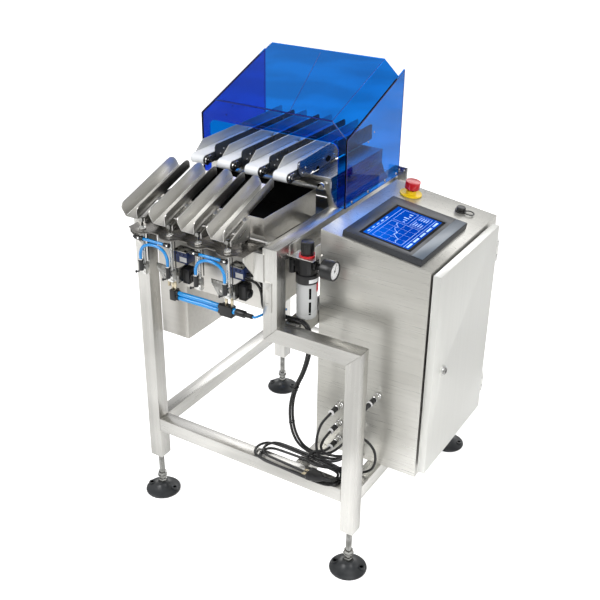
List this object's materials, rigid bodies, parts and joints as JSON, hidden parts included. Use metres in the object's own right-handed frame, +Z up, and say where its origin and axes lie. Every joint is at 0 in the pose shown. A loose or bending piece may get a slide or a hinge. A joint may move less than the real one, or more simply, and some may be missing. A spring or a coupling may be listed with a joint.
{
  "type": "multi-lane checkweigher",
  "caption": "Narrow-lane belt scale on a tube frame with tilting discharge chutes, air cylinders, a blue guard hood and a side control cabinet.",
  "frame": {"origin": "centre of the underside of the front left levelling foot, on the floor", "axes": "+X to the operator's cabinet along the discharge side, +Y from the chutes back to the infeed, +Z up"},
  "size_m": [0.8299, 0.8015, 1.2082],
  "materials": {
    "aluminium": "satin aluminium",
    "black": "black plastic",
    "air_tube": "blue polyurethane air tube",
    "belt": "white polyurethane belt",
    "steel": "brushed stainless steel",
    "brass": "brass fittings",
    "bright": "bright plated steel",
    "cable": "black cable sheath",
    "chute_steel": "brushed stainless steel, warm",
    "blue_body": "blue valve bodies",
    "dark_metal": "black anodised aluminium",
    "yellow": "yellow moulded",
    "red": "red moulded",
    "screen": "lit touch screen",
    "hood": "clear blue polycarbonate",
    "foot": "black moulded pad",
    "bowl": "grey-white guard"
  },
  "bodies": {
    "machine": {"air_cylinders": "aluminium", "air_fittings": "black", "air_hoses": "air_tube", "belts": "belt", "bin_carriers": "steel", "brass_fittings": "brass", "cabinet": "steel", "cabinet_connectors": "bright", "cable_bundle": "cable", "cable_coil": "cable", "chute_bearings": "bright", "control_gear": "blue_body", "conveyor_beds": "dark_metal", "cross_beams": "steel", "cross_plates": "steel", "cylinder_plate": "chute_steel", "deck_rails": "steel", "deck_ties": "steel", "estop_disc": "yellow", "hinge_leaves": "bright", "hmi": "black", "hmi_screen": "screen", "hood_front": "hood", "hood_lid": "hood", "hood_rear_plate": "steel", "hood_wings": "hood", "housings": "steel", "lane_guards": "dark_metal", "lane_guides": "steel", "legs": "steel", "levelling_pads": "foot", "levelling_spindles": "bright", "nose_adjusters": "bright", "plate_gussets": "steel", "posts": "steel", "power_plug": "cable", "pressure_gauge": "black", "regulator": "black", "regulator_bowl": "bowl", "regulator_bracket": "steel", "regulator_ring": "red", "reject_bin": "steel", "service_port": "black", "side_beams": "steel", "side_plate": "steel", "tie_shaft": "bright", "valve_blocks": "blue_body", "valve_plates": "bright"},
    "chute_body_1": {"chute_1": "chute_steel"},
    "rod_body_1": {"cylinder_rod_1": "bright"},
    "chute_body_2": {"chute_2": "chute_steel"},
    "rod_body_2": {"cylinder_rod_2": "bright"},
    "chute_body_3": {"chute_3": "chute_steel"},
    "rod_body_3": {"cylinder_rod_3": "bright"},
    "chute_body_4": {"chute_4": "chute_steel"},
    "rod_body_4": {"cylinder_rod_4": "bright"},
    "door_body": {"door": "steel"},
    "lock_body": {"door_lock": "bright"},
    "estop_body": {"estop_head": "red"},
    "knob_body": {"regulator_knob": "black"}
  },
  "joints": [
    {"name": "chute_1_tilt", "type": "hinge", "parent": "machine", "child": "chute_body_1", "pos_m": [0.043, 0.004, 0.885], "axis": [1, 0, 0], "range_deg": [0, 10]},
    {"name": "rod_1_slide", "type": "slide", "parent": "machine", "child": "rod_body_1", "axis": [0, 0, 1], "range_m": [-0.0115, 0]},
    {"name": "chute_2_tilt", "type": "hinge", "parent": "machine", "child": "chute_body_2", "pos_m": [0.129, 0.004, 0.885], "axis": [1, 0, 0], "range_deg": [0, 10]},
    {"name": "rod_2_slide", "type": "slide", "parent": "machine", "child": "rod_body_2", "axis": [0, 0, 1], "range_m": [-0.0115, 0]},
    {"name": "chute_3_tilt", "type": "hinge", "parent": "machine", "child": "chute_body_3", "pos_m": [0.215, 0.004, 0.885], "axis": [1, 0, 0], "range_deg": [0, 10]},
    {"name": "rod_3_slide", "type": "slide", "parent": "machine", "child": "rod_body_3", "axis": [0, 0, 1], "range_m": [-0.0115, 0]},
    {"name": "chute_4_tilt", "type": "hinge", "parent": "machine", "child": "chute_body_4", "pos_m": [0.301, 0.004, 0.885], "axis": [1, 0, 0], "range_deg": [0, 10]},
    {"name": "rod_4_slide", "type": "slide", "parent": "machine", "child": "rod_body_4", "axis": [0, 0, 1], "range_m": [-0.0115, 0]},
    {"name": "door_swing", "type": "hinge", "parent": "machine", "child": "door_body", "pos_m": [0.762, 0.506, 0.567], "axis": [0, 0, 1], "range_deg": [0, 110]},
    {"name": "lock_turn", "type": "hinge", "parent": "door_body", "child": "lock_body", "pos_m": [0.77, 0.183, 0.569], "axis": [1, 0, 0], "range_deg": [0, 90]},
    {"name": "estop_push", "type": "slide", "parent": "machine", "child": "estop_body", "axis": [0.1392, 0, 0.9903], "range_m": [-0.004, 0]},
    {"name": "pressure_turn", "type": "hinge", "parent": "machine", "child": "knob_body", "pos_m": [0.449, 0.06, 0.86], "axis": [0, 0, 1], "range_deg": [-180, 180]}
  ],
  "couplings": [
    {"joint": "rod_1_slide", "follows": "chute_1_tilt", "m_per_rad": -0.064},
    {"joint": "rod_2_slide", "follows": "chute_2_tilt", "m_per_rad": -0.064},
    {"joint": "rod_3_slide", "follows": "chute_3_tilt", "m_per_rad": -0.064},
    {"joint": "rod_4_slide", "follows": "chute_4_tilt", "m_per_rad": -0.064}
  ]
}
